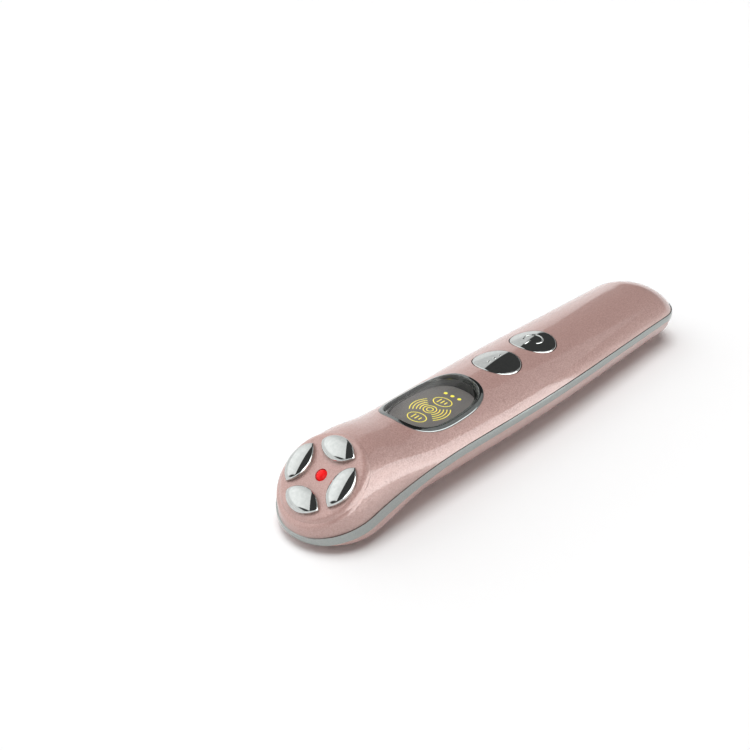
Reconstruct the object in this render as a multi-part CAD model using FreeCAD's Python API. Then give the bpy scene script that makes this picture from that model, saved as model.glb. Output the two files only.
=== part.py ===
import FreeCAD, Part
import math
import os

V = FreeCAD.Vector

# Handheld eye massager with a slanted electrode head, in millimetres.
# +X points from the charging end to the head, +Z is up, and z = 0 is the face it rests on.

# Housing form, with places along it measured back from the head's tip
body_length = 168.0
trim_proud = 0.3
tail_half_width = 15.0
widest_half_width = 15.6
widest_x = -5.0
head_half_width = 13.3
crown_z = 18.0
band_z = 10.2
head_droop = 7.5
droop_length = 52.7
droop_power = 2.7
rise_height = 2.0
rise_start_back = 35.7
rise_end_back = 18.7
handle_crown_share = 0.566
head_crown_share = 0.543
handle_side_share = 0.293
head_side_share = 0.698
quarter_share = 0.5523
round_start_back = 45.7
round_end_back = 15.7
handle_corner_height = 8.6
handle_corner_width = 10.8
head_corner_height = 3.0
head_corner_width = 9.0
corner_start_back = 33.7
corner_end_back = 12.7
smallest_corner = 0.4
station_count = 17
seam_points = 16
overrun = 40.0

# Shell walls and the lip behind the trim band
top_wall = 1.6
bottom_wall = 1.8
lip_gap = 0.1
lip_wall = 0.8
lip_rise = 1.2
lip_foot = 0.8
fit_gap = 0.05

# Trim band and charging port
band_height = 2.0
band_depth = 1.2
band_swell = 1.0
swell_start_back = 43.7
swell_peak_back = 13.7
port_plate_drop = 2.6
port_plate_half_width = 9.0
port_plate_slope = 2.2
port_slot_width = 8.2
port_slot_height = 3.0
port_shell_width = 7.5
port_shell_height = 2.6
port_shell_length = 5.6
port_shell_wall = 0.3
port_setback = 0.9
port_tongue_width = 5.4
port_tongue_height = 0.7
port_tongue_setback = 0.6
port_back = 1.2

# Slanted head and its electrodes
head_back = 9.7
head_z = 14.0
head_tilt = 35.5
plateau_top_radius = 10.1
plateau_foot_radius = 11.7
plateau_height = 0.8
plateau_foot_drop = 0.5
face_round = 1.6
pad_ring_radius = 7.0
pad_half_length = 5.35
pad_half_width = 3.0
pad_dome_long = 6.5
pad_dome_wide = 4.1
pad_dome_tall = 3.2
pad_dome_sink = 1.2
stud_radius = 1.0
stud_tail = 0.4
nut_radius = 1.9
nut_height = 1.0
head_board_radius = 9.0
head_board_thickness = 0.8
led_radius = 1.5
led_rise = 0.7
led_chip_size = 1.6
led_chip_height = 0.6

# Display window
window_back = 48.4
window_half_length = 15.0
window_half_width = 9.8
window_power = 2.8
window_points = 24
bezel_proud = 0.55
bezel_width = 1.2
bezel_depth = 3.6
bezel_ledge = 0.9
lens_proud = 0.25
lens_thickness = 1.1
panel_depth = 3.4
mask_thickness = 0.6
frame_wall = 1.2
frame_length = 20.0
frame_width = 9.0
display_led_size = 2.0
display_led_height = 0.8
display_led_pitch = 6.0
display_led_count = 3

# Buttons and their switches
window_to_mode = 27.8
button_pitch = 17.9
button_radius = 6.8
button_clearance = 0.25
button_rim_proud = 0.3
button_dome_radius = 20.0
button_edge_round = 0.7
button_base_z = 14.0
button_flange_radius = 7.7
button_flange_height = 0.6
button_skin = 2.0
button_pocket_radius = 5.4
button_post_radius = 1.6
switch_size = 6.0
switch_height = 2.0
switch_floor = 0.4
stem_radius = 1.5
stem_gap = 0.1
stem_depth = 1.0

# Main board and what sits on it
board_thickness = 1.0
board_tail_gap = 8.7
board_head_back = 33.7
board_half_width = 9.2
board_corner = 3.0
board_tongue_gap = 4.2
board_tongue_half_width = 4.4
tail_screw_gap = 13.7
tail_screw_y = 6.2
mode_to_screw = 10.5
head_screw_y = 7.0
screw_shank_radius = 0.85
screw_head_radius = 1.8
screw_head_height = 1.1
screw_length = 5.0
boss_radius = 2.0
chip_gap = 33.7
chip_size = 7.0
chip_height = 1.0
coil_gap = 21.7
coil_radius = 2.8
coil_height = 2.6

# Battery, vibration motor and wiring
battery_gap = 3.7
battery_length = 42.0
battery_width = 19.0
battery_height = 5.4
battery_base_z = 3.6
battery_round = 1.2
foam_length = 34.0
foam_width = 7.0
motor_back = 43.7
motor_z = 5.2
motor_radius = 2.9
motor_length = 11.0
shaft_radius = 0.5
shaft_clearance = 0.05
shaft_reach = 5.2
shaft_depth = 6.0
weight_radius = 2.6
weight_length = 3.8
weight_gap = 0.7
holder_length = 8.0
holder_half_width = 3.6
holder_top = 0.9
lead_radius = 0.5
lead_spacing = 3.0
lead_run = 3.0
lead_bend = 1.2
ribbon_y = 3.5
ribbon_width = 2.6
ribbon_thickness = 0.2
ribbon_start_back = 36.2
ribbon_turn_back = 27.7
ribbon_land = 4.6
ribbon_seat = 2.0

half_length = body_length / 2 - trim_proud
tail_axis_x = -half_length + tail_half_width
head_axis_x = half_length - head_half_width
droop_start_x = half_length - droop_length
rise_start_x = half_length - rise_start_back
rise_end_x = half_length - rise_end_back
round_start_x = half_length - round_start_back
round_end_x = half_length - round_end_back
corner_start_x = half_length - corner_start_back
corner_end_x = half_length - corner_end_back
swell_start_x = half_length - swell_start_back
swell_peak_x = half_length - swell_peak_back
head_x = half_length - head_back
window_x = half_length - window_back
mode_x = window_x - window_to_mode
power_x = mode_x - button_pitch
board_tail_x = -half_length + board_tail_gap
board_tongue_x = -half_length + board_tongue_gap
board_head_x = half_length - board_head_back
chip_x = -half_length + chip_gap
coil_x = -half_length + coil_gap
battery_x = tail_axis_x + battery_gap + battery_length / 2
motor_x = half_length - motor_back
ribbon_start_x = half_length - ribbon_start_back
ribbon_turn_x = half_length - ribbon_turn_back
port_plate_z = band_z - band_height / 2 - port_plate_drop
port_z = (band_z + band_height / 2 + port_plate_z) / 2
board_z = port_z + port_shell_height / 2
board_top = board_z + board_thickness
switch_top = board_top + switch_height
face_wall = plateau_height + top_wall
lens_bottom = lens_thickness - lens_proud
panel_z = crown_z - panel_depth
frame_top = panel_z - mask_thickness
head_place = FreeCAD.Placement(V(head_x, 0, head_z), FreeCAD.Rotation(V(0, 1, 0), head_tilt))


def smooth(value, start, end):
    share = min(max((value - start) / (end - start), 0), 1)
    return share * share * (3 - 2 * share)


def blend(first, last, share):
    return first + (last - first) * share


def half_width(x):
    if x < widest_x:
        return blend(tail_half_width, widest_half_width, smooth(x, tail_axis_x, widest_x))
    return blend(widest_half_width, head_half_width, smooth(x, widest_x, head_axis_x))


def band_middle(x):
    share = max(x - droop_start_x, 0) / (half_length - droop_start_x)
    return band_z - head_droop * share ** droop_power


def crown(x):
    return crown_z + rise_height * smooth(x, rise_start_x, rise_end_x)


def spline(points, first, last):
    """A smooth curve through points, leaving the first and reaching the last in the given unit directions."""
    curve = Part.BSplineCurve()
    curve.interpolate(Points=points, InitialTangent=first, FinalTangent=last, Scale=False)
    return curve.toShape()


def line(first, last):
    return Part.makeLine(first, last)


def box(x0, x1, y0, y1, z0, z1):
    return Part.makeBox(x1 - x0, y1 - y0, z1 - z0, V(x0, y0, z0))


def rod(radius, base, direction, length):
    return Part.makeCylinder(radius, length, base, direction)


def upright_rod(radius, x, y, z0, z1):
    return rod(radius, V(x, y, z0), V(0, 0, 1), z1 - z0)


def half_section(x, inset, side):
    """Poles of one half of the housing's section at x: its crown, its upright wall and its lower corner."""
    roundness = smooth(x, round_start_x, round_end_x)
    crown_share = blend(handle_crown_share, head_crown_share, roundness)
    side_share = blend(handle_side_share, head_side_share, roundness)
    tuck = smooth(x, corner_start_x, corner_end_x)
    tall = max(blend(handle_corner_height, head_corner_height, tuck) - inset, smallest_corner)
    deep = max(blend(handle_corner_width, head_corner_width, tuck) - inset, smallest_corner)
    wide = half_width(x) - inset
    top_z = crown(x) - inset
    spring_z = band_middle(x)
    wall_z = inset + tall
    side_z = blend(spring_z, top_z, side_share)
    outlines = [
        [(0, top_z), (wide * crown_share, top_z), (wide, side_z), (wide, spring_z)],
        [(wide, blend(spring_z, wall_z, third / 3)) for third in range(4)],
        [(wide, wall_z), (wide, wall_z - tall * quarter_share),
         (wide - deep * (1 - quarter_share), inset), (wide - deep, inset)],
    ]
    return [[V(x, side * y, z) for y, z in outline] for outline in outlines]


def strip(rows):
    """One smooth face along the body, from a row of four poles at each station."""
    along = V(rows[-1][0].x - rows[0][0].x, 0, 0)
    steps = [station / (len(rows) - 1) for station in range(len(rows))]
    curves = []
    for column in zip(*rows):
        curve = Part.BSplineCurve()
        curve.interpolate(
            Points=list(column), Parameters=steps, InitialTangent=along, FinalTangent=along, Scale=False)
        curves.append(curve)
    surface = Part.BSplineSurface()
    surface.buildFromPolesMultsKnots(
        [curve.getPoles() for curve in curves], [4, 4], curves[0].getMultiplicities(),
        [0, 1], curves[0].getKnots(), False, False, 3, 3)
    return surface.toShape()


def end_cap(x, inset, side):
    """Faces of a rounded end of the housing: its half section turned about an upright line."""
    faces = []
    for poles in half_section(x, inset, 1):
        curve = Part.BezierCurve()
        curve.setPoles(poles)
        faces += curve.toShape().revolve(V(x, 0, 0), V(0, 0, 1), side * 180).Faces
    return faces


def body(inset):
    """The whole housing as one closed form, its skin moved inwards by inset."""
    stations = []
    for count in range(station_count):
        stations.append(blend(tail_axis_x, head_axis_x, count / (station_count - 1)))
    skin = end_cap(tail_axis_x, inset, 1) + end_cap(head_axis_x, inset, -1)
    for side in (-1, 1):
        sections = [half_section(x, inset, side) for x in stations]
        skin += [strip(rows) for rows in zip(*sections)]
    floor_rim = []
    for face in skin:
        floor_rim += [edge for edge in face.Edges if edge.BoundBox.ZMax < inset + fit_gap]
    skin.append(Part.Face(Part.Wire(Part.sortEdges(floor_rim)[0])))
    closed = Part.makeCompound(skin)
    closed.sewShape()
    return Part.makeSolid(Part.Shell(closed.Faces))


def swell(x):
    """Share of the band's extra depth, which peaks beside the head."""
    return smooth(x, swell_start_x, swell_peak_x) * (1 - smooth(x, swell_peak_x, half_length))


def over_band(offset, sag):
    """Everything above the band's middle line, moved up by offset and let down by sag beside the head."""
    far_x = half_length + overrun
    ceiling = crown_z + overrun
    points = []
    for step in range(seam_points):
        x = blend(droop_start_x, half_length + trim_proud, step / (seam_points - 1))
        points.append(V(x, -overrun, band_middle(x) + offset - sag * swell(x)))
    slope = (points[-1] - points[-2]).normalize()
    tip = points[-1] + slope * ((far_x - points[-1].x) / slope.x)
    left = V(-far_x, -overrun, points[0].z)
    edges = [
        line(left, points[0]),
        spline(points, V(1, 0, 0), slope),
        line(points[-1], tip),
        line(tip, V(far_x, -overrun, ceiling)),
        line(V(far_x, -overrun, ceiling), V(-far_x, -overrun, ceiling)),
        line(V(-far_x, -overrun, ceiling), left),
    ]
    return Part.Face(Part.Wire(edges)).extrude(V(0, 2 * overrun, 0))


def on_head(shape):
    """A shape drawn about the centre of the head face, put in its place."""
    moved = shape.copy()
    moved.Placement = head_place.multiply(moved.Placement)
    return moved


def beyond_face(height):
    """Everything beyond the slanted head face, moved out along the face's axis by height."""
    return on_head(box(-overrun, overrun, -overrun, overrun, height, height + overrun))


def face_rod(radius, place, z0, z1):
    """A rod square to the head face, between two heights above it."""
    return on_head(rod(radius, place + V(0, 0, z0), V(0, 0, 1), z1 - z0))


def window_prism(shrink):
    """The window's outline, made smaller by shrink and drawn out upright."""
    points = []
    for step in range(window_points):
        turn = 2 * math.pi * step / window_points
        along = math.copysign(abs(math.cos(turn)) ** (2 / window_power), math.cos(turn))
        across = math.copysign(abs(math.sin(turn)) ** (2 / window_power), math.sin(turn))
        x = window_x + (window_half_length - shrink) * along
        points.append(V(x, (window_half_width - shrink) * across, board_top))
    curve = Part.BSplineCurve()
    curve.interpolate(Points=points, PeriodicFlag=True)
    return Part.Face(Part.Wire(curve.toShape())).extrude(V(0, 0, overrun))


def slot(width, height, x0, x1):
    """A bar along X with round sides, at the port's height."""
    radius = height / 2
    reach = width / 2 - radius
    bar = box(x0, x1, -reach, reach, port_z - radius, port_z + radius)
    for side in (-1, 1):
        bar = bar.fuse(rod(radius, V(x0, side * reach, port_z), V(1, 0, 0), x1 - x0))
    return bar.removeSplitter()


def rounded_box(x0, x1, y0, y1, z0, z1, radius, axis):
    shape = box(x0, x1, y0, y1, z0, z1)
    chosen = []
    for edge in shape.Edges:
        direction = edge.Vertexes[1].Point - edge.Vertexes[0].Point
        if direction.cross(axis).Length < fit_gap:
            chosen.append(edge)
    return shape.makeFillet(radius, chosen)


def lead(points, radius):
    """A round lead along straight runs joined by bends."""
    edges = []
    start = points[0]
    for before, corner, after in zip(points, points[1:], points[2:]):
        back = (before - corner).normalize() * lead_bend
        on = (after - corner).normalize() * lead_bend
        middle = corner + (back + on) * (1 - 1 / math.sqrt(2))
        edges.append(line(start, corner + back))
        edges.append(Part.Arc(corner + back, middle, corner + on).toShape())
        start = corner + on
    edges.append(line(start, points[-1]))
    path = Part.Wire(edges)
    ring = Part.Wire(Part.makeCircle(radius, points[0], points[1] - points[0]))
    return path.makePipeShell([ring], True, False)


def save(name, shape):
    good = shape.isValid() and shape.Volume > 0
    print(name, len(shape.Solids), "solids", round(shape.Volume, 1), "mm3" if good else "NOT VALID")
    shape.exportStep("parts/" + name + ".step")


os.makedirs("parts", exist_ok=True)
outer = body(0)
over_top_seam = over_band(band_height / 2, 0)
over_bottom_seam = over_band(-band_height / 2, band_swell)

# Trim band: a hoop between the shells, a little proud of both, deepened round the charging port
plate_top = port_plate_half_width + port_plate_slope
plate_face = Part.Face(Part.makePolygon([
    V(-body_length, -plate_top, band_z),
    V(-body_length, plate_top, band_z),
    V(-body_length, port_plate_half_width, port_plate_z),
    V(-body_length, -port_plate_half_width, port_plate_z),
    V(-body_length, -plate_top, band_z),
]))
plate_zone = plate_face.extrude(V(body_length + tail_axis_x, 0, 0))
band_zone = over_bottom_seam.cut(over_top_seam)
band_inside = body(band_depth)
port_hole = slot(port_slot_width, port_slot_height, -body_length, tail_axis_x)
proud_body = body(-trim_proud)
trim_zone = band_zone.fuse(plate_zone)
trim_band = proud_body.common(trim_zone).cut(band_inside).cut(port_hole)
save("trim_band", trim_band)

# Top shell: the crown, the slanted face with its round plateau, and the openings
top = outer.cut(beyond_face(-plateau_height)).common(over_top_seam)
rim = []
for edge in top.Edges:
    middle = edge.valueAt((edge.FirstParameter + edge.LastParameter) / 2)
    if abs(head_place.inverse().multVec(middle).z + plateau_height) < fit_gap:
        rim.append(edge)
top = top.makeFillet(face_round, rim)
outward = V(1, 0, 0)
shoulder = V(plateau_top_radius, 0, 0)
foot = V(plateau_foot_radius, 0, -plateau_height - plateau_foot_drop)
steep = V(1, 0, -2).normalize()
plateau_side = Part.Face(Part.Wire([
    line(V(0, 0, -face_wall), V(0, 0, 0)),
    line(V(0, 0, 0), shoulder),
    spline([shoulder, foot], outward, steep),
    line(foot, V(plateau_foot_radius, 0, -face_wall)),
    line(V(plateau_foot_radius, 0, -face_wall), V(0, 0, -face_wall)),
]))
plateau = on_head(plateau_side.revolve(V(0, 0, 0), V(0, 0, 1), 360))
cavity = body(top_wall).cut(beyond_face(-face_wall))
top_shell = top.cut(cavity).fuse(plateau)
pad_places = {
    "front": V(pad_ring_radius, 0, 0),
    "left": V(0, pad_ring_radius, 0),
    "rear": V(-pad_ring_radius, 0, 0),
    "right": V(0, -pad_ring_radius, 0),
}
holes = [face_rod(led_radius + fit_gap, V(0, 0, 0), -overrun / 2, overrun)]
for place in pad_places.values():
    holes.append(face_rod(stud_radius + fit_gap, place, -overrun / 2, overrun))
for button_x in (mode_x, power_x):
    holes.append(upright_rod(button_radius + button_clearance, button_x, 0, board_top, crown_z + overrun))
holes.append(window_prism(-fit_gap))
for hole in holes:
    top_shell = top_shell.cut(hole)
save("top_shell", top_shell)

# Bottom shell: the tucked half, with a lip behind the band and bosses under the board
inner_bottom = body(bottom_wall)
lip_outside = top_wall + lip_gap
lip = body(lip_outside).common(over_band(-band_height / 2 - lip_foot, band_swell))
lip = lip.cut(over_band(band_height / 2 + lip_rise, 0)).cut(beyond_face(-face_wall - lip_gap))
lip = lip.cut(body(lip_outside + lip_wall))
bottom_shell = outer.cut(over_bottom_seam).cut(inner_bottom).fuse(lip)
bottom_shell = bottom_shell.cut(plate_zone.cut(band_inside)).cut(port_hole)
screw_places = []
for side in (-1, 1):
    screw_places.append((-half_length + tail_screw_gap, side * tail_screw_y))
    screw_places.append((mode_x + mode_to_screw, side * head_screw_y))
for x, y in screw_places:
    boss = upright_rod(boss_radius, x, y, 0, board_z).common(body(bottom_wall / 2))
    pilot = upright_rod(screw_shank_radius + fit_gap, x, y, board_z - screw_length, board_z)
    bottom_shell = bottom_shell.fuse(boss).cut(pilot)
save("bottom_shell", bottom_shell)

# Display: bezel following the crown, curved lens, and a flat printed panel on its light frame and lamps
lens_under = body(lens_bottom)
bezel = window_prism(0).common(body(-bezel_proud)).cut(body(bezel_depth))
bezel = bezel.cut(window_prism(bezel_width).cut(lens_under)).cut(window_prism(bezel_width + bezel_ledge))
save("display_bezel", bezel)
lens = window_prism(bezel_width + fit_gap).common(body(-lens_proud)).cut(lens_under)
save("display_lens", lens)
slab = box(-half_length, half_length, -overrun, overrun, frame_top, panel_z)
save("display_mask", window_prism(bezel_width + bezel_ledge + fit_gap).common(slab))


def frame_block(inward):
    along = frame_length / 2 - inward
    across = frame_width / 2 - inward
    return box(window_x - along, window_x + along, -across, across, board_top, frame_top)


save("display_frame", frame_block(0).cut(frame_block(frame_wall)))
lamps = []
for count in range(display_led_count):
    x = window_x + (count - (display_led_count - 1) / 2) * display_led_pitch
    half_lamp = display_led_size / 2
    lamp_top = board_top + display_led_height
    lamps.append(box(x - half_lamp, x + half_lamp, -half_lamp, half_lamp, board_top, lamp_top))
save("display_leds", Part.makeCompound(lamps))


# Buttons: domed caps held by a flange under the shell, each over a stem and a tact switch
def button_cap(x):
    rim_z = crown_z + button_rim_proud
    dome_centre = rim_z - math.sqrt(button_dome_radius ** 2 - button_radius ** 2)
    dome_top = dome_centre + button_dome_radius
    cap = upright_rod(button_radius, x, 0, button_base_z, dome_top)
    cap = cap.common(Part.makeSphere(button_dome_radius, V(x, 0, dome_centre)))
    rounded = [edge for edge in cap.Edges if abs(edge.BoundBox.ZMin - rim_z) < fit_gap and edge.isClosed()]
    cap = cap.makeFillet(button_edge_round, rounded)
    flange_top = button_base_z + button_flange_height
    cap = cap.fuse(upright_rod(button_flange_radius, x, 0, button_base_z, flange_top))
    pocket = upright_rod(button_pocket_radius, x, 0, button_base_z, dome_top - button_skin)
    pocket = pocket.cut(upright_rod(button_post_radius, x, 0, button_base_z, dome_top))
    return cap.cut(pocket)


for name, x in (("mode", mode_x), ("power", power_x)):
    save(name + "_button", button_cap(x))
    save(name + "_stem", upright_rod(stem_radius, x, 0, switch_top - stem_depth, button_base_z))
    half = switch_size / 2
    switch = box(x - half, x + half, -half, half, board_top, switch_top)
    well = upright_rod(stem_radius + stem_gap, x, 0, board_top + switch_floor, switch_top)
    save(name + "_switch", switch.cut(well))

# Head: four almond electrodes on studs, their nuts, the round board and the red lamp
tip_a = V(0, -pad_half_length, 0)
tip_b = V(0, pad_half_length, 0)
almond = Part.Face(Part.Wire([
    Part.Arc(tip_a, V(pad_half_width, 0, 0), tip_b).toShape(),
    Part.Arc(tip_b, V(-pad_half_width, 0, 0), tip_a).toShape(),
])).extrude(V(0, 0, pad_dome_tall))
stretch = FreeCAD.Matrix()
stretch.scale(pad_dome_wide, pad_dome_long, pad_dome_tall)
dome = Part.makeSphere(1).transformGeometry(stretch)
dome.translate(V(0, 0, -pad_dome_sink))
pad = almond.common(dome)
board_low = -face_wall - head_board_thickness
stud_low = board_low - nut_height - stud_tail
pad = pad.fuse(rod(stud_radius, V(0, 0, stud_low), V(0, 0, 1), -stud_low)).removeSplitter()
for quarter, (name, place) in enumerate(pad_places.items()):
    turned = pad.copy()
    turned.Placement = FreeCAD.Placement(place, FreeCAD.Rotation(V(0, 0, 1), quarter * 90))
    save("electrode_" + name, on_head(turned))
nuts = []
head_board = face_rod(head_board_radius, V(0, 0, 0), board_low, -face_wall)
for place in pad_places.values():
    bore = face_rod(stud_radius + fit_gap, place, -overrun / 2, 0)
    head_board = head_board.cut(bore)
    nuts.append(face_rod(nut_radius, place, board_low - nut_height, board_low).cut(bore))
save("electrode_nuts", Part.makeCompound(nuts))
save("head_board", head_board)
half_chip = led_chip_size / 2
chip_top = -face_wall + led_chip_height
led_chip = box(-half_chip, half_chip, -half_chip, half_chip, -face_wall, chip_top)
save("led_chip", on_head(led_chip))
led_dome = Part.makeSphere(led_radius, V(0, 0, led_rise - led_radius))
led_body = rod(led_radius, V(0, 0, -face_wall), V(0, 0, 1), face_wall + led_rise - led_radius)
chip_room_radius = half_chip * math.sqrt(2) + fit_gap
chip_room = rod(chip_room_radius, V(0, 0, -face_wall), V(0, 0, 1), led_chip_height + fit_gap)
save("led_lens", on_head(led_body.fuse(led_dome).removeSplitter().cut(chip_room)))

# Main board with its screws, driver chip and boost coil
board = rounded_box(
    board_tail_x, board_head_x, -board_half_width, board_half_width,
    board_z, board_top, board_corner, V(0, 0, 1))
tongue_y = board_tongue_half_width
board = board.fuse(box(board_tongue_x, board_tail_x + board_corner, -tongue_y, tongue_y, board_z, board_top))
screws = []
for x, y in screw_places:
    board = board.cut(upright_rod(screw_shank_radius + fit_gap, x, y, board_z, board_top))
    shank = upright_rod(screw_shank_radius, x, y, board_top - screw_length, board_top)
    head = upright_rod(screw_head_radius, x, y, board_top, board_top + screw_head_height)
    screws.append(shank.fuse(head).removeSplitter())
save("main_board", board.removeSplitter())
save("board_screws", Part.makeCompound(screws))
half = chip_size / 2
save("control_chip", box(chip_x - half, chip_x + half, -half, half, board_top, board_top + chip_height))
save("boost_coil", upright_rod(coil_radius, coil_x, 0, board_top, board_top + coil_height))

# Charging port: metal shell with the contact tongue inside
port_x = -half_length + port_setback
port_end = port_x + port_shell_length
port_bore_width = port_shell_width - 2 * port_shell_wall
port_bore_height = port_shell_height - 2 * port_shell_wall
port_shell = slot(port_shell_width, port_shell_height, port_x, port_end)
save("port_shell", port_shell.cut(slot(port_bore_width, port_bore_height, port_x, port_end)))
insert = slot(port_bore_width - fit_gap, port_bore_height - fit_gap, port_end - port_back, port_end)
half = V(0, port_tongue_width / 2, port_tongue_height / 2)
blade = box(port_x + port_tongue_setback, port_end, -half.y, half.y, port_z - half.z, port_z + half.z)
save("port_tongue", insert.fuse(blade).removeSplitter())

# Battery on its foam strip
half_battery = battery_length / 2
battery = rounded_box(
    battery_x - half_battery, battery_x + half_battery, -battery_width / 2, battery_width / 2,
    battery_base_z, battery_base_z + battery_height, battery_round, V(1, 0, 0))
save("battery_cell", battery)
half_foam = foam_length / 2
foam = box(
    battery_x - half_foam, battery_x + half_foam, -foam_width / 2, foam_width / 2,
    bottom_wall, battery_base_z)
save("battery_foam", foam)

# Vibration motor: can in a rubber holder, shaft and eccentric weight
motor_tail = motor_x - motor_length / 2
motor_front = motor_x + motor_length / 2
along = V(1, 0, 0)
can = rod(motor_radius, V(motor_tail, 0, motor_z), along, motor_length)
bearing = rod(shaft_radius + shaft_clearance, V(motor_front - shaft_depth, 0, motor_z), along, shaft_depth)
save("motor_can", can.cut(bearing))
shaft_tail = motor_front - shaft_depth + shaft_clearance
shaft = rod(shaft_radius, V(shaft_tail, 0, motor_z), along, motor_front + shaft_reach - shaft_tail)
save("motor_shaft", shaft)
weight_x = motor_front + weight_gap
weight = rod(weight_radius, V(weight_x, 0, motor_z), along, weight_length)
weight = weight.cut(box(
    weight_x, weight_x + weight_length, -weight_radius, weight_radius, motor_z + weight_radius / 2, crown_z))
save("motor_weight", weight.cut(rod(shaft_radius, V(weight_x, 0, motor_z), along, weight_length)))
half_holder = holder_length / 2
holder = box(
    motor_x - half_holder, motor_x + half_holder, -holder_half_width, holder_half_width,
    bottom_wall + fit_gap, motor_z + motor_radius + holder_top)
save("motor_holder", holder.cut(rod(motor_radius, V(motor_tail, 0, motor_z), along, motor_length)))

# Leads from the battery and the motor up to the board, and the ribbon to the head board
battery_leads = []
motor_leads = []
battery_end = battery_x + half_battery
lead_z = battery_base_z + battery_height / 2
for side in (-1, 1):
    y = side * lead_spacing / 2
    rise_x = battery_end + lead_run
    route = [V(battery_end, y, lead_z), V(rise_x, y, lead_z), V(rise_x, y, board_z)]
    battery_leads.append(lead(route, lead_radius))
    rise_x = motor_tail - lead_run
    route = [V(motor_tail, y, motor_z), V(rise_x, y, motor_z), V(rise_x, y, board_z)]
    motor_leads.append(lead(route, lead_radius))
save("battery_leads", Part.makeCompound(battery_leads))
save("motor_leads", Part.makeCompound(motor_leads))
landing = head_place.multVec(V(-ribbon_land, 0, board_low))
seated = head_place.multVec(V(-ribbon_land + ribbon_seat, 0, board_low))
start = V(ribbon_start_x, 0, board_top)
turn = V(ribbon_turn_x, 0, board_top)
under = head_place.Rotation.multVec(V(0, 0, -ribbon_thickness))
above = V(0, 0, ribbon_thickness)
outline = [start, turn, landing + under, seated + under, seated, landing, turn + above, start + above, start]
edge_y = V(0, ribbon_y - ribbon_width / 2, 0)
ribbon_face = Part.Face(Part.makePolygon([point + edge_y for point in outline]))
save("head_ribbon", ribbon_face.extrude(V(0, ribbon_width, 0)))
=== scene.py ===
import math

import bpy
from mathutils import Matrix, Vector


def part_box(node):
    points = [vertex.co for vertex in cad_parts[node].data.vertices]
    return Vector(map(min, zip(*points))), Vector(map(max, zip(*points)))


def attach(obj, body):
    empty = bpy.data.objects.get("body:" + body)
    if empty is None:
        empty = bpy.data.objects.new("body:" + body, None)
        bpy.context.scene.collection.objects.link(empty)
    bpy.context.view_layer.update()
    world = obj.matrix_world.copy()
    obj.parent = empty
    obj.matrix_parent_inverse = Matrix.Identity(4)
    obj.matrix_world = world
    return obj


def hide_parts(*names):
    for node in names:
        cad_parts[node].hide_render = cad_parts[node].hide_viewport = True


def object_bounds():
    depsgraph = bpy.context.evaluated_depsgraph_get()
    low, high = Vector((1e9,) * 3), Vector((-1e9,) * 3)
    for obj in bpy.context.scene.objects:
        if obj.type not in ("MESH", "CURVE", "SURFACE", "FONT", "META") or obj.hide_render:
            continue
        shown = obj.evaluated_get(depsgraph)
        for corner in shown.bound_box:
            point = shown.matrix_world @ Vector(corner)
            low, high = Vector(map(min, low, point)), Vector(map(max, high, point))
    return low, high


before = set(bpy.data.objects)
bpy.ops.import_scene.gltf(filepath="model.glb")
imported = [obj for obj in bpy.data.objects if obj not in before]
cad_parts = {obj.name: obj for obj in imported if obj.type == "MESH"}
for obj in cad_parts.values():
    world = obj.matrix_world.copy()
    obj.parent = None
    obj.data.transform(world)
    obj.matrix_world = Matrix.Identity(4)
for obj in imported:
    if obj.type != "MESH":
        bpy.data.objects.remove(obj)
cad_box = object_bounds()

# Bottom shell: the lower half of the grip, injection-moulded in ABS with the board posts inside.
# Outside it is sprayed with a rose-gold pearl coat and a clear lacquer, and it snaps to the top shell.
mm = 0.001


def linear(colour):
    """An sRGB hex colour as the linear numbers that a shader socket takes."""
    shares = [int(colour[place:place + 2], 16) / 255 for place in (1, 3, 5)]
    return [s / 12.92 if s < 0.04045 else ((s + 0.055) / 1.055) ** 2.4 for s in shares] + [1.0]


def add(tree, kind, inputs, **settings):
    """Adds a node, sets its properties, and sets or links its inputs."""
    made = tree.nodes.new(kind)
    for name, value in settings.items():
        setattr(made, name, value)
    for name, value in inputs.items():
        if isinstance(value, bpy.types.NodeSocket):
            tree.links.new(value, made.inputs[name])
        else:
            made.inputs[name].default_value = value
    return made


def new_finish(name):
    """A material with its tree and shader, and the place on the piece that its patterns read."""
    finish = bpy.data.materials.new(name)
    finish.use_nodes = True
    shader = finish.node_tree.nodes["Principled BSDF"]
    place = add(finish.node_tree, "ShaderNodeTexCoord", {}).outputs["Object"]
    return finish, finish.node_tree, shader, place


def dress(finish, *names):
    """Gives a finish to CAD pieces."""
    for name in names:
        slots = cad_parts[name].data.materials
        slots.clear()
        slots.append(finish)


# Pearl lacquer on ABS: mica flakes float in a pink coat, each leaning its own way. Their titania skin,
# with its high IOR, gives a broad pale rose sheen with a fine grain, and the clear lacquer gives
# faint, sharp reflections. Real flakes are near 0.05 mm; they are drawn at 0.25 mm, so that they show.
flake_size = 0.25 * mm
flake_lean = 0.28
flake_rough = (0.42, 0.56)
cloud_size = 1.8 * mm
cloud_share = 0.3
pearl, tree, shader, place = new_finish("rose_pearl_lacquer")
flakes = add(tree, "ShaderNodeTexVoronoi", {"Vector": place, "Scale": 1 / flake_size})
flake = add(tree, "ShaderNodeSeparateColor", {"Color": flakes.outputs["Color"]})
cloud = add(tree, "ShaderNodeTexNoise", {"Vector": place, "Scale": 1 / cloud_size, "Detail": 2.0})
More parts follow.
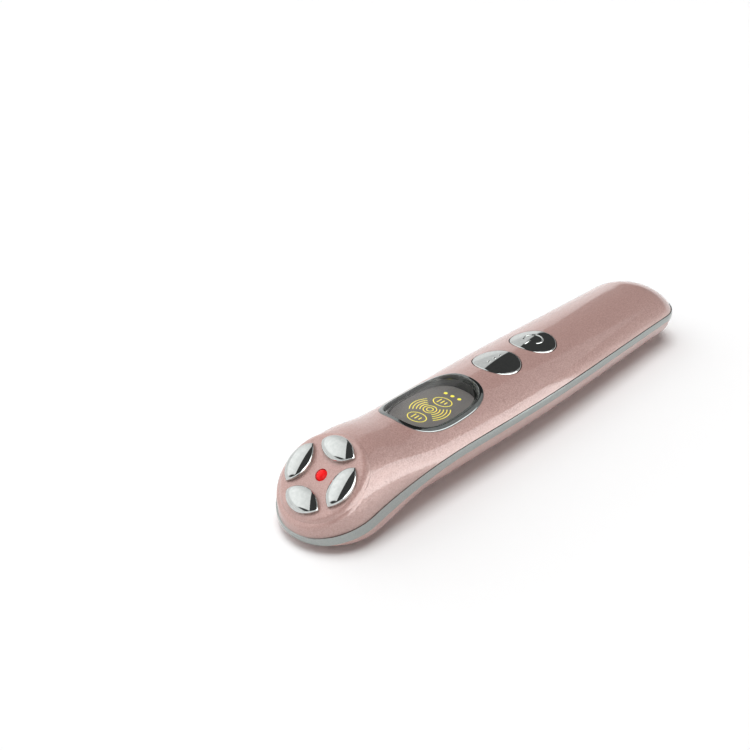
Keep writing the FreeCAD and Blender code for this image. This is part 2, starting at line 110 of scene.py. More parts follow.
# A Mix node takes its share at 0, numbers at 2 and 3, and colours at 6 and 7.
mixed = add(tree, "ShaderNodeMix", {
    0: cloud_share, 2: flake.outputs["Red"], 3: cloud.outputs["Fac"]}, data_type="FLOAT")
tone = add(tree, "ShaderNodeValToRGB", {"Fac": mixed.outputs[0]})
tone.color_ramp.elements[0].color = linear("#a67f78")
tone.color_ramp.elements[1].color = linear("#bd9992")
tree.links.new(tone.outputs["Color"], shader.inputs["Base Color"])
gloss = add(tree, "ShaderNodeMapRange", {
    "Value": flake.outputs["Green"], "To Min": flake_rough[0], "To Max": flake_rough[1]})
tree.links.new(gloss.outputs["Result"], shader.inputs["Roughness"])
surface = add(tree, "ShaderNodeNewGeometry", {})
centred = add(tree, "ShaderNodeVectorMath", {
    0: flakes.outputs["Color"], 1: (0.5, 0.5, 0.5)}, operation="SUBTRACT")
leaned = add(tree, "ShaderNodeVectorMath", {
    0: centred.outputs["Vector"], 1: (flake_lean, flake_lean, flake_lean),
    2: surface.outputs["Normal"]}, operation="MULTIPLY_ADD")
facing = add(tree, "ShaderNodeVectorMath", {0: leaned.outputs["Vector"]}, operation="NORMALIZE")
tree.links.new(facing.outputs["Vector"], shader.inputs["Normal"])
shader.inputs["IOR"].default_value = 2.3
shader.inputs["Specular Tint"].default_value = linear("#f4dcd5")
shader.inputs["Coat Weight"].default_value = 1.0
shader.inputs["Coat Roughness"].default_value = 0.06
shader.inputs["Coat IOR"].default_value = 1.5
dress(pearl, "bottom_shell")


# Battery: a flat lithium pouch in its aluminium laminate, stuck to the floor with foam tape.
# Two soft sleeved leads take it to the board.
def grained(name, dark, light, grain, rough, metallic=0.0, relief=0.0):
    """A finish whose tone, gloss and relief follow one grain; grain and relief are real sizes."""
    finish, tree, shader, place = new_finish(name)
    spots = add(tree, "ShaderNodeTexNoise", {"Vector": place, "Scale": 1 / grain, "Detail": 3.0})
    tone = add(tree, "ShaderNodeValToRGB", {"Fac": spots.outputs["Fac"]})
    tone.color_ramp.elements[0].position = 0.3
    tone.color_ramp.elements[0].color = linear(dark)
    tone.color_ramp.elements[1].position = 0.7
    tone.color_ramp.elements[1].color = linear(light)
    tree.links.new(tone.outputs["Color"], shader.inputs["Base Color"])
    gloss = add(tree, "ShaderNodeMapRange", {
        "Value": spots.outputs["Fac"], "To Min": rough[0], "To Max": rough[1]})
    tree.links.new(gloss.outputs["Result"], shader.inputs["Roughness"])
    if relief:
        bump = add(tree, "ShaderNodeBump", {"Height": spots.outputs["Fac"], "Distance": relief})
        tree.links.new(bump.outputs["Normal"], shader.inputs["Normal"])
    shader.inputs["Metallic"].default_value = metallic
    return finish


# Aluminium laminate: satin silver film with shallow creases from the folding.
foil = grained(
    "aluminium_laminate", "#a9abad", "#c9cbcc", grain=3.0 * mm, rough=(0.28, 0.42),
    metallic=0.9, relief=0.12 * mm)
dress(foil, "battery_cell")

# Polyurethane foam tape: dull black with open cells.
foam = grained(
    "foam_tape", "#161617", "#2d2d2f", grain=0.5 * mm, rough=(0.85, 1.0), relief=0.2 * mm)
dress(foam, "battery_foam")

# PVC lead sleeve: one lead red and one black, by the side that it lies on, with a soft gloss.
sleeve = grained(
    "lead_sleeve", "#1c1c1e", "#b3201f", grain=0.8 * mm, rough=(0.3, 0.45), relief=0.01 * mm)
tree = sleeve.node_tree
across = add(tree, "ShaderNodeSeparateXYZ", {
    "Vector": tree.nodes["Texture Coordinate"].outputs["Object"]})
pole = add(tree, "ShaderNodeMath", {0: across.outputs["Y"], 1: 0.0}, operation="GREATER_THAN")
tree.links.new(pole.outputs["Value"], tree.nodes["Color Ramp"].inputs["Fac"])
dress(sleeve, "battery_leads", "motor_leads")

# Vibration motor: a drawn steel can in a silicone holder, with a ground shaft.
# An off-centre sintered weight pressed on the shaft makes the head shake.
# Drawn steel: bright with a fine grain.
drawn_steel = grained(
    "drawn_steel", "#8e9193", "#b4b7b8", grain=0.6 * mm, rough=(0.2, 0.34),
    metallic=1.0, relief=0.01 * mm)
dress(drawn_steel, "motor_can", "motor_shaft")

# Sintered tungsten: dark grey metal with visible grains.
sintered = grained(
    "sintered_tungsten", "#4d4c4b", "#75726f", grain=0.25 * mm, rough=(0.45, 0.6),
    metallic=1.0, relief=0.03 * mm)
dress(sintered, "motor_weight")

# Silicone rubber: dull black with a dusty bloom.
silicone = grained(
    "silicone_rubber", "#1b1b1d", "#2a2a2c", grain=1.2 * mm, rough=(0.6, 0.75), relief=0.02 * mm)
dress(silicone, "motor_holder")

# Main board: glass-epoxy laminate under green solder mask, held to the posts by four small screws.
# It carries the driver chip, the boost coil and a tact switch under each button.
# Solder mask: glossy green, lighter over the copper tracks, which run along and across the board.
track_row = 1.2 * mm
track_width = track_row / 8
track_length = track_row * 4
copper_thick = 0.035 * mm
weave_share = 0.25
solder_mask, tree, shader, place = new_finish("green_solder_mask")
tracks = add(tree, "ShaderNodeTexBrick", {
    "Vector": place, "Color1": linear("#1d6a39"), "Color2": linear("#1a5f34"),
    "Mortar": linear("#2f8a4d"), "Scale": 1.0, "Mortar Size": track_width,
    "Brick Width": track_length, "Row Height": track_row})
weave = add(tree, "ShaderNodeTexNoise", {"Vector": place, "Scale": 1 / track_row, "Detail": 4.0})
toned = add(tree, "ShaderNodeMix", {
    0: weave_share, 6: tracks.outputs["Color"], 7: weave.outputs["Color"]},
    data_type="RGBA", blend_type="OVERLAY")
tree.links.new(toned.outputs[2], shader.inputs["Base Color"])
raised = add(tree, "ShaderNodeBump", {"Height": tracks.outputs["Fac"], "Distance": copper_thick})
tree.links.new(raised.outputs["Normal"], shader.inputs["Normal"])
shader.inputs["Roughness"].default_value = 0.28
shader.inputs["IOR"].default_value = 1.55
dress(solder_mask, "main_board")

# Zinc-plated steel: bright, with a faint yellow cloud.
zinc = grained(
    "zinc_plated_steel", "#a3a49d", "#c4c5c0", grain=0.9 * mm, rough=(0.25, 0.4), metallic=1.0)
dress(zinc, "board_screws")

# Moulding epoxy: matt black with the fine sparkle of its filler.
epoxy = grained(
    "moulding_epoxy", "#19191a", "#2b2b2d", grain=0.15 * mm, rough=(0.5, 0.65), relief=0.01 * mm)
dress(epoxy, "control_chip")

# Ferrite: charcoal grey ceramic with pores.
ferrite = grained(
    "ferrite", "#2c2b2a", "#403e3c", grain=0.3 * mm, rough=(0.6, 0.8), relief=0.03 * mm)
dress(ferrite, "boost_coil")

# Glass-filled PBT: black, satin, with a faint fibre grain.
switch_plastic = grained(
    "glass_filled_pbt", "#1d1d1f", "#2f2f31", grain=0.4 * mm, rough=(0.4, 0.55), relief=0.01 * mm)
dress(switch_plastic, "mode_switch", "power_switch")

# Charging inlet: a folded stainless shell with a black tongue, soldered to the board's end.
# Five gold-flashed contacts lie side by side on the underside of the tongue.
contact_count = 5
contact_pitch = 0.65 * mm
contact_size = Vector((2.6, 0.36, 0.1)) * mm
contact_edge = 0.04 * mm
contact_setback = 0.7 * contact_size.x
tongue_thick = 0.7 * mm
tongue_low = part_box("port_tongue")[0]
port_low, port_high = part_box("port_shell")
contact_x = tongue_low[0] + contact_setback
contact_z = (port_low[2] + port_high[2]) / 2 - tongue_thick / 2
# Stainless steel: rolled, with a faint lengthways grain.
stainless = grained(
    "rolled_stainless", "#9a9c9d", "#bdbfbf", grain=0.5 * mm, rough=(0.2, 0.32),
    metallic=1.0, relief=0.008 * mm)
dress(stainless, "port_shell")
dress(switch_plastic, "port_tongue")


def softened(edge):
    """Sets the newest block or rod in its place for good, and rounds its edges."""
    bpy.ops.object.transform_apply()
    bpy.ops.object.mode_set(mode="EDIT")
    bpy.ops.mesh.bevel(offset=edge, segments=2)
    bpy.ops.object.mode_set(mode="OBJECT")
    return bpy.context.object


def repeated(pattern, places):
    """Copies a piece to its places, each copy with its own mesh, and takes the pattern away."""
    copies = []
    for place in places:
        made = pattern.copy()
        made.data = pattern.data.copy()
        made.data.transform(place)
        bpy.context.scene.collection.objects.link(made)
        copies.append(made)
    bpy.data.objects.remove(pattern)
    return copies


def joined(name, pieces, smooth=True):
    """Joins the parts of one piece under its name, and shades all but its sharp edges smooth."""
    bpy.ops.object.select_all(action="DESELECT")
    for piece in pieces:
        piece.select_set(True)
    bpy.context.view_layer.objects.active = pieces[0]
    bpy.ops.object.join()
    if smooth:
        bpy.ops.object.shade_smooth_by_angle(angle=math.radians(40))
    pieces[0].name = name
    return pieces[0]


# The frame's pieces come selected, and an operator acts on all that is selected.
bpy.ops.object.select_all(action="DESELECT")
bpy.ops.mesh.primitive_cube_add(size=1, location=(contact_x, 0, contact_z))
bpy.context.object.scale = contact_size
contacts = repeated(softened(contact_edge), [
    Matrix.Translation((0, (index - (contact_count - 1) / 2) * contact_pitch, 0))
    for index in range(contact_count)])
port_contacts = joined("port_contacts", contacts, smooth=False)
# Gold flash over nickel: warm yellow metal, a little scuffed.
gold = grained("gold_flash", "#c39a45", "#dcb962", grain=0.4 * mm, rough=(0.2, 0.36), metallic=1.0)
port_contacts.data.materials.append(gold)
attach(port_contacts, "housing")

# Head board: a small round board behind the slanted face; the electrode studs pass through it.
# It carries the red lamp's chip, and a polyimide ribbon joins it to the main board.
dress(solder_mask, "head_board")
# Lamp package: white ceramic with a faint mottle.
ceramic = grained("lamp_ceramic", "#dcdad3", "#efeee9", grain=0.3 * mm, rough=(0.4, 0.55))
dress(ceramic, "led_chip")
# Polyimide film: amber and glossy, with the copper tracks showing through lengthways.
ribbon_pitch = 0.5 * mm
ribbon_relief = 0.02 * mm
film, tree, shader, place = new_finish("polyimide_film")
# At scale 1 the bands of a Wave texture are pi / 10 apart.
tracks = add(tree, "ShaderNodeTexWave", {
    "Vector": place, "Scale": math.pi / (10 * ribbon_pitch), "Distortion": 0.0}, bands_direction="Y")
tone = add(tree, "ShaderNodeValToRGB", {"Fac": tracks.outputs["Fac"]})
tone.color_ramp.elements[0].color = linear("#b9772a")
tone.color_ramp.elements[1].color = linear("#d69a45")
tree.links.new(tone.outputs["Color"], shader.inputs["Base Color"])
raised = add(tree, "ShaderNodeBump", {"Height": tracks.outputs["Fac"], "Distance": ribbon_relief})
tree.links.new(raised.outputs["Normal"], shader.inputs["Normal"])
shader.inputs["Roughness"].default_value = 0.25
shader.inputs["IOR"].default_value = 1.7
dress(film, "head_ribbon")

# Top shell: the crown and the slanted head face, moulded and sprayed as the bottom shell is.
# It has the openings for the window, the buttons, the electrode studs and the red lamp.
dress(pearl, "top_shell")


# Display: a white light frame with three lamps under a grey printed panel, deep below the window.
# The panel's symbols are left clear in the print, and the lamps make them glow yellow.
def lit_up(finish, colour, strength):
    """Lets a finish glow, as it does with a lamp behind it."""
    shader = finish.node_tree.nodes["Principled BSDF"]
    shader.inputs["Emission Color"].default_value = linear(colour)
    shader.inputs["Emission Strength"].default_value = strength
    return shader


# White ABS: light guide frame, satin.
guide = grained("white_abs", "#e2e1dd", "#f0efec", grain=0.7 * mm, rough=(0.4, 0.55))
dress(guide, "display_frame")
# Lamp resin: amber and faintly glowing.
lamp_resin = grained("amber_lamp_resin", "#d7a83a", "#f0cf62", grain=0.4 * mm, rough=(0.2, 0.35))
lit_up(lamp_resin, "#f2d85a", 0.6)
dress(lamp_resin, "display_leds")
# Screen print: grey ink, dull, with the mesh of the screen just showing.
mesh_pitch = 0.3 * mm
mesh_stray = 0.15
ink_rough = (0.42, 0.55)
print_ink, tree, shader, place = new_finish("panel_screen_print")
dots = add(tree, "ShaderNodeTexVoronoi", {
    "Vector": place, "Scale": 1 / mesh_pitch, "Randomness": mesh_stray})
tone = add(tree, "ShaderNodeValToRGB", {"Fac": dots.outputs["Distance"]})
tone.color_ramp.elements[0].color = linear("#807f7f")
tone.color_ramp.elements[1].color = linear("#757474")
tree.links.new(tone.outputs["Color"], shader.inputs["Base Color"])
gloss = add(tree, "ShaderNodeMapRange", {
    "Value": dots.outputs["Distance"], "To Min": ink_rough[0], "To Max": ink_rough[1]})
tree.links.new(gloss.outputs["Result"], shader.inputs["Roughness"])
dress(print_ink, "display_mask")


# Panel symbols: clear windows in the print, standing a hair proud as lit lacquer.
# Three dots for the level, two ovals and a disc for the programmes, and waves on both sides.
def ring(centre, half_x, half_y, stroke, span=None):
    """A flat-lying ring of round section; span gives the first and last degree of an arc that stays."""
    bpy.ops.mesh.primitive_torus_add(
        major_segments=96, minor_segments=10, major_radius=half_x, minor_radius=stroke / 2)
    made = bpy.context.object
    if span:
        bpy.ops.object.mode_set(mode="EDIT")
        bpy.ops.mesh.select_all(action="DESELECT")
        bpy.ops.mesh.select_mode(type="VERT")
        bpy.ops.object.mode_set(mode="OBJECT")
        for corner in made.data.vertices:
            turn = math.degrees(math.atan2(corner.co.y, corner.co.x))
            corner.select = (turn - span[0]) % 360 > span[1] - span[0]
        bpy.ops.object.mode_set(mode="EDIT")
        bpy.ops.mesh.delete(type="VERT")
        bpy.ops.mesh.select_all(action="SELECT")
        bpy.ops.mesh.fill_holes(sides=0)
        bpy.ops.object.mode_set(mode="OBJECT")
    for corner in made.data.vertices:
        reach = Vector((corner.co.x, corner.co.y, 0))
        rim = reach.normalized() * half_x
        thick = reach - rim
        corner.co = Vector((rim.x, rim.y * half_y / half_x, corner.co.z)) + thick
    made.data.transform(Matrix.Translation(centre))
    return made


def bead(centre, half_x, half_y, half_z, stretch=0.0):
    """A round bead, drawn out along X by stretch on each side of its middle ring."""
    bpy.ops.mesh.primitive_uv_sphere_add(segments=32, ring_count=16, radius=1.0)
    made = bpy.context.object
    for corner in made.data.vertices:
        pull = math.copysign(stretch, corner.co.x) if abs(corner.co.x) > 0.01 else 0.0
        corner.co = Vector((corner.co.x * half_x + pull, corner.co.y * half_y, corner.co.z * half_z))
    made.data.transform(Matrix.Translation(centre))
    return made


panel_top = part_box("display_mask")[1][2]
symbol_stroke = 0.24 * mm
symbol_rise = 0.05 * mm
dot_x = 26.9 * mm
dot_pitch = 2.3 * mm
dot_radius = 0.55 * mm
oval_half = (2.0 * mm, 2.7 * mm)
oval_x = (31.0 * mm, 41.2 * mm)
stripe_pitch = 1.1 * mm
stripe_radius = 0.16 * mm
stripe_half = 0.7 * mm
stripe_step = 0.2 * mm
disc_x = 36.1 * mm
disc_radius = 1.75 * mm
wave_radii = [radius * mm for radius in (2.6, 3.5, 4.4, 5.3)]
wave_span = 42
symbols = repeated(
    bead((dot_x, 0, 0), dot_radius, dot_radius, dot_radius),
    [Matrix.Translation((0, side * dot_pitch, 0)) for side in (-1, 0, 1)])
oval = [ring((0, 0, 0), *oval_half, symbol_stroke)]
for side in (-1, 0, 1):
    oval.append(bead(
        (0, side * stripe_pitch, 0), stripe_radius, stripe_radius, stripe_radius,
        stripe_half - side * stripe_step))
for piece in oval:
    symbols += repeated(piece, [Matrix.Translation((x, 0, 0)) for x in oval_x])
for radius in (disc_radius, disc_radius / 2):
    symbols.append(ring((disc_x, 0, 0), radius, radius, symbol_stroke))
for radius in wave_radii:
    arc = ring((0, 0, 0), radius, radius, symbol_stroke, (90 - wave_span, 90 + wave_span))
    symbols += repeated(arc, [
        Matrix.Translation((disc_x, 0, 0)) @ Matrix.Rotation(turn, 4, "Z") for turn in (0, math.pi)])
panel_symbols = joined("panel_symbols", symbols)
lowest = min(corner.co.z for corner in panel_symbols.data.vertices)
for corner in panel_symbols.data.vertices:
    corner.co.z = panel_top + symbol_rise * corner.co.z / -lowest
# Lit lacquer: clear yellow, brighter in a soft mottle.
lacquer = grained("lit_yellow_lacquer", "#d9d03c", "#f2ea5e", grain=0.6 * mm, rough=(0.3, 0.45))
lit_up(lacquer, "#efe54a", 0.75)
panel_symbols.data.materials.append(lacquer)
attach(panel_symbols, "housing")

# Window lens: faintly smoked acrylic, moulded to the crown's curve and set on the bezel's ledge.
# It shows the panel in its depth, and the surround in its face. An even sheet hardly bends the view,
# so the body has a low IOR, and a coat with acrylic's own IOR gives the reflections.
smoke_size = 4.0 * mm
lens_rough = (0.0, 0.03)
lens_finish, tree, shader, place = new_finish("smoked_acrylic")
haze = add(tree, "ShaderNodeTexNoise", {"Vector": place, "Scale": 1 / smoke_size, "Detail": 2.0})
gloss = add(tree, "ShaderNodeMapRange", {
    "Value": haze.outputs["Fac"], "To Min": lens_rough[0], "To Max": lens_rough[1]})
tree.links.new(gloss.outputs["Result"], shader.inputs["Roughness"])
shader.inputs["Base Color"].default_value = linear("#e9e7e5")
shader.inputs["Transmission Weight"].default_value = 1.0
shader.inputs["IOR"].default_value = 1.04
shader.inputs["Coat Weight"].default_value = 0.25
shader.inputs["Coat IOR"].default_value = 1.49
dress(lens_finish, "display_lens")

# Bezel: a chrome bead around the window, painted darker as shade, with a collar that holds the lens and
# lines the recess.
# It is moulded in ABS, chrome-plated and pressed into the top shell's opening.
window_x = 35.3 * mm
window_half = (15.0 * mm, 9.8 * mm)
window_power = 2.8
bead_width = 1.2 * mm
bead_tall = 0.7 * mm
bead_power = 5.0
bead_proud = 0.2 * mm
bezel_proud = 0.55 * mm
collar_width = 0.9 * mm
collar_top = 0.9 * mm
collar_low = 3.5 * mm
bead_sections, collar_sections = 32, 4
bezel_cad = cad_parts["display_bezel"]


def squared(share, power):
    """Draws a cosine or a sine out, so that a round becomes a rounded square."""
    return math.copysign(abs(share) ** (2 / power), share)


def on_window(turn, inset, height):
    """A point of the bezel: round the window, in from its edge, and over the crown's own height."""
    along = squared(math.cos(turn), window_power)
    across = squared(math.sin(turn), window_power)
    spots = []
    for depth in (bead_width / 2, inset):
        half_x, half_y = window_half[0] - depth, window_half[1] - depth
        spots.append(Vector((window_x + half_x * along, half_y * across, 0)))
    top, normal = bezel_cad.ray_cast(spots[0] + Vector((0, 0, cad_box[1][2])), (0, 0, -1))[1:3]
    off = spots[1] - spots[0]
    fall = (normal.x * off.x + normal.y * off.y) / normal.z
    return Vector((spots[1].x, spots[1].y, top.z - bezel_proud - fall + height))


bezel_parts = []
for sections in (bead_sections, collar_sections):
    bpy.ops.mesh.primitive_torus_add(
        major_segments=160, minor_segments=sections, major_radius=1.0, minor_radius=0.25)
    hoop = bpy.context.object
    for corner in hoop.data.vertices:
        turn = math.atan2(corner.co.y, corner.co.x)
        lean = math.atan2(corner.co.z, math.hypot(corner.co.x, corner.co.y) - 1.0)
        if sections == bead_sections:
            inset = bead_width * (1 - squared(math.cos(lean), bead_power)) / 2
            height = bead_proud + bead_tall * (squared(math.sin(lean), bead_power) - 1)
        else:
            lean += math.pi / 4
            inset = bead_width + collar_width * (1 - math.copysign(1, math.cos(lean))) / 2
            height = -collar_top if math.sin(lean) > 0 else -collar_low
        corner.co = on_window(turn, inset, height)
    bezel_parts.append(hoop)
window_bezel = joined("window_bezel", bezel_parts)
# Bezel chrome on ABS: the same mirror as the caps, with its plate darkened as painted shade, so its
# reflections stay grey.
polish_size = 0.9 * mm
polish_rough = (0.02, 0.06)
bezel_chrome_shaded = grained(
    "bezel_chrome_with_painted_shade", "#7f8382", "#888c8b", grain=polish_size, rough=polish_rough, metallic=1.0)
window_bezel.data.materials.append(bezel_chrome_shaded)
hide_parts("display_bezel")
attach(window_bezel, "housing")

# Buttons: two domed chrome caps, held by a flange under the shell, each over a stem on its switch.
# Their marks are moulded in low relief and plated with the cap: three dots, and a broken ring with a bar.
cap_radius = 6.8 * mm
cap_edge = 0.3 * mm
cap_proud = 0.12 * mm
cap_dome = 0.35 * mm
flange_thick = 0.6 * mm
flange_edge = 0.1 * mm
mode_low, mode_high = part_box("mode_button")
power_low, power_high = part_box("power_button")
mode_x = (mode_low[0] + mode_high[0]) / 2
power_x = (power_low[0] + power_high[0]) / 2
bridge_x = (mode_x + power_x) / 2
flange_radius = (mode_high[0] - mode_low[0]) / 2


def domed(edge_at, height_at, crest, foot):
    """A closed dome on a flat foot, with its outline by angle, its face by place and a rounded rim."""
    # The upper half of a ball becomes the face, its middle ring the rim, and the lower half the foot.
    bpy.ops.mesh.primitive_uv_sphere_add(segments=128, ring_count=64, radius=1.0)
    made = bpy.context.object
    for corner in made.data.vertices:
        turn = math.atan2(corner.co.y, corner.co.x)
        edge = edge_at(turn)
        reach = edge * min(math.hypot(corner.co.x, corner.co.y), 1.0)
        x, y = reach * math.cos(turn), reach * math.sin(turn)
        over = max(reach - (edge - crest), 0.0)
        drop = crest - math.sqrt(max(crest ** 2 - over ** 2, 0.0))
        corner.co = (x, y, height_at(x, y) - drop if corner.co.z > -0.001 else foot)
    return made


def crown_fall(across):
    """How far the crown lies below the sky line between the buttons."""
    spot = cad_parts["top_shell"].ray_cast(
        Vector((bridge_x, across, cad_box[1][2])), (0, 0, -1))[1]
    return cad_box[1][2] - spot.z


# Two places across the crown give its curve: a square and a quartic term.
crown_top = cad_box[1][2] - crown_fall(0.0)
near, far = 4.0 * mm, 6.6 * mm
near_fall = (crown_fall(near) - crown_fall(0.0)) / near ** 2
far_fall = (crown_fall(far) - crown_fall(0.0)) / far ** 2
crown_quartic = (far_fall - near_fall) / (far ** 2 - near ** 2)
crown_square = near_fall - crown_quartic * near ** 2


def on_crown(x, y):
    """The face of a cap: the crown's own curve with a low dome on it."""
    dome = cap_dome * (1 - (x ** 2 + y ** 2) / cap_radius ** 2)
    return crown_top + cap_proud + dome - crown_square * y ** 2 - crown_quartic * y ** 4


# Bright chrome plate: a mirror with a faint cool tint and only the finest polishing haze.
chrome = grained(
    "bright_chrome_plate", "#c3c7c5", "#cdd0ce", grain=polish_size, rough=polish_rough, metallic=1.0)
face = domed(lambda turn: cap_radius, on_crown, cap_edge, mode_low[2])
bpy.ops.mesh.primitive_cylinder_add(
    vertices=96, radius=flange_radius, depth=flange_thick,
    location=(0, 0, mode_low[2] + flange_thick / 2))
cap = joined("cap", [face, softened(flange_edge)])
cap.data.materials.append(chrome)
caps = repeated(cap, [Matrix.Translation((middle, 0, 0)) for middle in (mode_x, power_x)])
for name, cap in zip(("mode", "power"), caps):
    cap.name = name + "_cap"
    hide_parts(name + "_button")
    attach(cap, name + "_key")
# Acetal: white, waxy stems.
acetal = grained("acetal", "#dddcd6", "#eceae5", grain=0.5 * mm, rough=(0.35, 0.5))
dress(acetal, "mode_stem", "power_stem")

mark_sink = 0.04 * mm
mark_pitch = 2.6 * mm
mark_radius = 0.5 * mm
mark_rise = 0.28 * mm
mark_y = -0.9 * mm
mark_ring = 2.8 * mm
mark_stroke = 0.5 * mm
mark_gap = 50
bar_middle = power_x + 2.9 * mm
bar_half = 1.5 * mm


def on_cap(piece, middle):
    """Lays a flat mark on the face of a cap."""
    for corner in piece.data.vertices:
        corner.co.z += on_crown(corner.co.x - middle, corner.co.y) - mark_sink


mode_dots = repeated(
    bead((mode_x, mark_y, 0), mark_radius, mark_radius, mark_rise),
    [Matrix.Translation((side * mark_pitch, 0, 0)) for side in (-1, 0, 1)])
mode_marks = joined("mode_marks", mode_dots)
on_cap(mode_marks, mode_x)
mode_marks.data.materials.append(chrome)
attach(mode_marks, "mode_key")

power_ring = ring(
    (power_x, 0, 0), mark_ring, mark_ring, mark_stroke, (mark_gap, 360 - mark_gap))
power_bar = bead(
    (bar_middle, 0, 0), mark_stroke / 2, mark_stroke / 2, mark_stroke / 2, bar_half - mark_stroke / 2)
power_marks = joined("power_marks", [power_ring, power_bar])
on_cap(power_marks, power_x)
power_marks.data.materials.append(chrome)
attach(power_marks, "power_key")

# Electrodes: four almond pads, zinc castings polished and chrome-plated, domed with a rounded crest.
# Each has a stud through the face and the head board, and a nut holds it there.
head_middle = Vector((74.0, 0, 14.0)) * mm
head_slant = 35.5
head_place = Matrix.Translation(head_middle) @ Matrix.Rotation(math.radians(head_slant), 4, "Y")
pad_ring = 7.0 * mm
pad_half = Vector((3.0, 5.35)) * mm
dome_half = Vector((4.1, 6.5, 3.2)) * mm
dome_sink = 1.2 * mm
crest_round = 0.3 * mm
pad_foot = 0.15 * mm
stud_radius = 1.0 * mm
stud_length = 4.6 * mm
stud_edge = 0.15 * mm
side_radius = (pad_half.y ** 2 + pad_half.x ** 2) / (2 * pad_half.x)
side_offset = side_radius - pad_half.x


def almond(turn):
    """The outline of a pad: two arcs that meet in points at its ends."""
    reach = math.sqrt(side_radius ** 2 - (side_offset * math.sin(turn)) ** 2)
    return reach - side_offset * abs(math.cos(turn))


def pad_face(x, y):
    """The face of a pad: the top of an ellipsoid that is sunk into the head."""
    return dome_half.z * math.sqrt(1 - (x / dome_half.x) ** 2 - (y / dome_half.y) ** 2) - dome_sink


dome = domed(almond, pad_face, crest_round, -pad_foot)
bpy.ops.mesh.primitive_cylinder_add(
    vertices=32, radius=stud_radius, depth=stud_length, location=(0, 0, -pad_foot - stud_length / 2))
pad = joined("pad", [dome, softened(stud_edge)])
pad.data.materials.append(chrome)
pad_turns = {"front": 0, "left": 90, "rear": 180, "right": 270}
pads = repeated(pad, [
    head_place @ Matrix.Rotation(math.radians(turn), 4, "Z") @ Matrix.Translation((pad_ring, 0, 0))
    for turn in pad_turns.values()])
for name, electrode in zip(pad_turns, pads):
    electrode.name = "pad_" + name
    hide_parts("electrode_" + name)
    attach(electrode, "housing")
# Brass nut: turned, with a dull yellow gloss.
brass = grained(
    "turned_brass", "#a8833f", "#c6a35b", grain=0.5 * mm, rough=(0.25, 0.4), metallic=1.0)
dress(brass, "electrode_nuts")

# Red lamp: a round lens of clear red epoxy in the middle of the four electrodes.
# It is cast, glued into its hole in the face, and lit by the chip on the head board.
# Red epoxy: an even, full red with a soft glow and little gloss.
lamp_lens = grained("red_lamp_epoxy", "#d81418", "#ea2022", grain=0.8 * mm, rough=(0.25, 0.4))
shader = lit_up(lamp_lens, "#e8191b", 0.3)
shader.inputs["Specular IOR Level"].default_value = 0.2
dress(lamp_lens, "led_lens")

# Trim band: a chrome-plated ABS hoop between the two shells, drooping to the tip.
# It is pressed over the lip of the bottom shell before the top shell closes on it.
# Trim chrome: the same plate, a little rougher than the polished caps, and darkened as painted shade, so
# its reflections stay grey.
band_chrome_shaded = grained(
    "band_chrome_with_painted_shade", "#989d9b", "#a3a7a5", grain=0.4 * mm, rough=(0.1, 0.18), metallic=1.0)
dress(band_chrome_shaded, "trim_band")

# Studio: a white floor and a pale wall, a large soft box on the left, a dark ceiling on the right.
# The bright chrome shows the box and the ceiling with the sharp line between.
floor_size = 6.0
bpy.ops.mesh.primitive_plane_add(size=floor_size, location=(0, 0, 0))
floor = bpy.context.object
floor.name = "studio_floor"
floor_finish, tree, shader, place = new_finish("white_sweep")
shader.inputs["Base Color"].default_value = linear("#fafafa")
shader.inputs["Roughness"].default_value = 0.9
shader.inputs["Specular IOR Level"].default_value = 0.1
floor.data.materials.append(floor_finish)

world = bpy.data.worlds.new("studio")
bpy.context.scene.world = world
world.use_nodes = True
tree = world.node_tree
background = tree.nodes["Background"]
direction = add(tree, "ShaderNodeTexCoord", {}).outputs["Generated"]
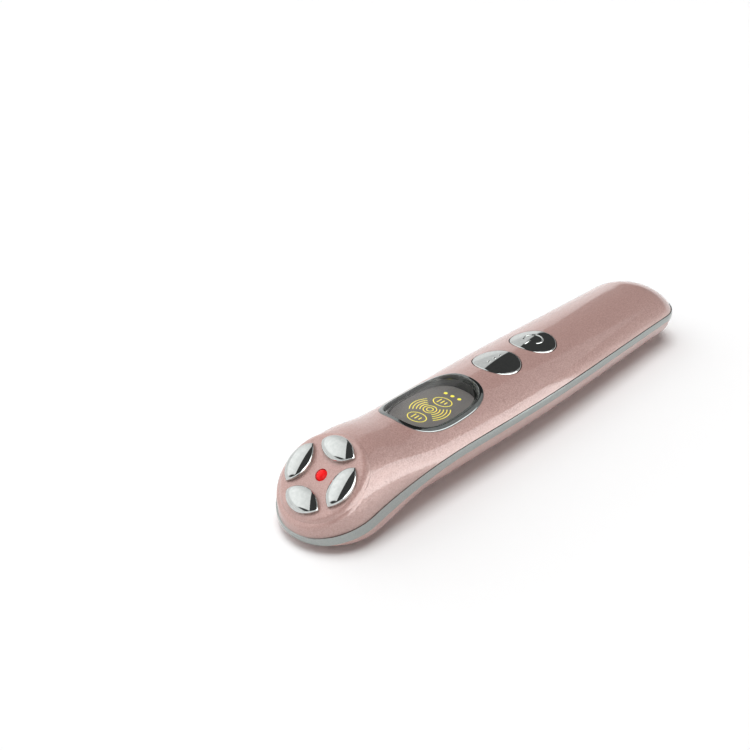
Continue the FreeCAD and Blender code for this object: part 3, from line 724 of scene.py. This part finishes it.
# Each change over the surround has a direction, the heights along it where it begins and ends, and the
# glow before and after it, where None stands for the glow that the changes above it give.
box_edge = (-0.341, 0.937, 0.074)
dark_glow = 0.06
changes = (
    (box_edge, -0.9, -0.18, 1.4, 1.1),  # the box, a little weaker towards its edge
    ((1, 0, 0), -0.6, 0.1, 0.8, None),  # and weaker still behind the tail
    (box_edge, -0.19, -0.17, None, dark_glow),  # the ceiling, from a sharp line
    ((1.0, 0.0, -0.2), 0.78, 0.82, None, dark_glow),  # the dark in front of the head
    ((0, 0, 1), 0.17, 0.28, 1.0, None))  # the low wall all round
glow = None
for towards, first, last, before, after in changes:
    height = add(tree, "ShaderNodeVectorMath", {0: direction, 1: towards}, operation="DOT_PRODUCT")
    share = add(tree, "ShaderNodeMapRange", {
        "Value": height.outputs["Value"], "From Min": first, "From Max": last},
        interpolation_type="SMOOTHSTEP")
    glow = add(tree, "ShaderNodeMix", {
        0: share.outputs["Result"], 2: glow if before is None else before,
        3: glow if after is None else after}, data_type="FLOAT").outputs[0]
tree.links.new(glow, background.inputs["Strength"])
background.inputs["Color"].default_value = linear("#ffffff")


def hung(name, kind, towards, distance):
    """Hangs a lamp in one direction from the part, aimed at it."""
    lamp = bpy.data.objects.new(name, bpy.data.lights.new(name, kind))
    lamp.location = Vector(towards) * distance
    lamp.rotation_euler = (-Vector(towards)).to_track_quat("-Z", "Y").to_euler()
    bpy.context.scene.collection.objects.link(lamp)
    return lamp


sun = hung("soft_overhead", "SUN", (0.0, -0.05, 1.0), 1.0)
sun.data.energy = 1.95
sun.data.angle = math.radians(40)
sun.visible_glossy = False
# Two boxes that only gloss shows: a strong low one for the sheen by the band, a weak high one for
# the flank. Each has its direction, width, height and radiance.
boxes = {
    "sheen_box": ((-0.13, 0.931, 0.342), 1.35, 0.55, 3.7),
    "flank_box": ((-0.45, 0.5, 0.74), 0.9, 0.35, 0.55)}
box_distance = 0.7
for name, (towards, wide, tall, radiance) in boxes.items():
    lamp = hung(name, "AREA", towards, box_distance)
    lamp.data.shape = "RECTANGLE"
    lamp.data.size, lamp.data.size_y = wide, tall
    lamp.data.energy = radiance * math.pi * wide * tall
    lamp.visible_diffuse = False
    lamp.visible_camera = False

# Camera: at the photograph's angle and framing, close to the tip.
# A lens about as long as its sensor is wide gives the photograph's perspective.
camera_data = bpy.data.cameras.new("camera")
camera_data.lens = 36.48
camera_data.sensor_width = 36.0
camera = bpy.data.objects.new("camera", camera_data)
camera.location = (0.16585, 0.1064, 0.11722)
camera.rotation_euler = [math.radians(turn) for turn in (61.079, 0.177, 134.075)]
bpy.context.scene.collection.objects.link(camera)
bpy.context.scene.camera = camera
bpy.context.scene.view_settings.view_transform = "Standard"
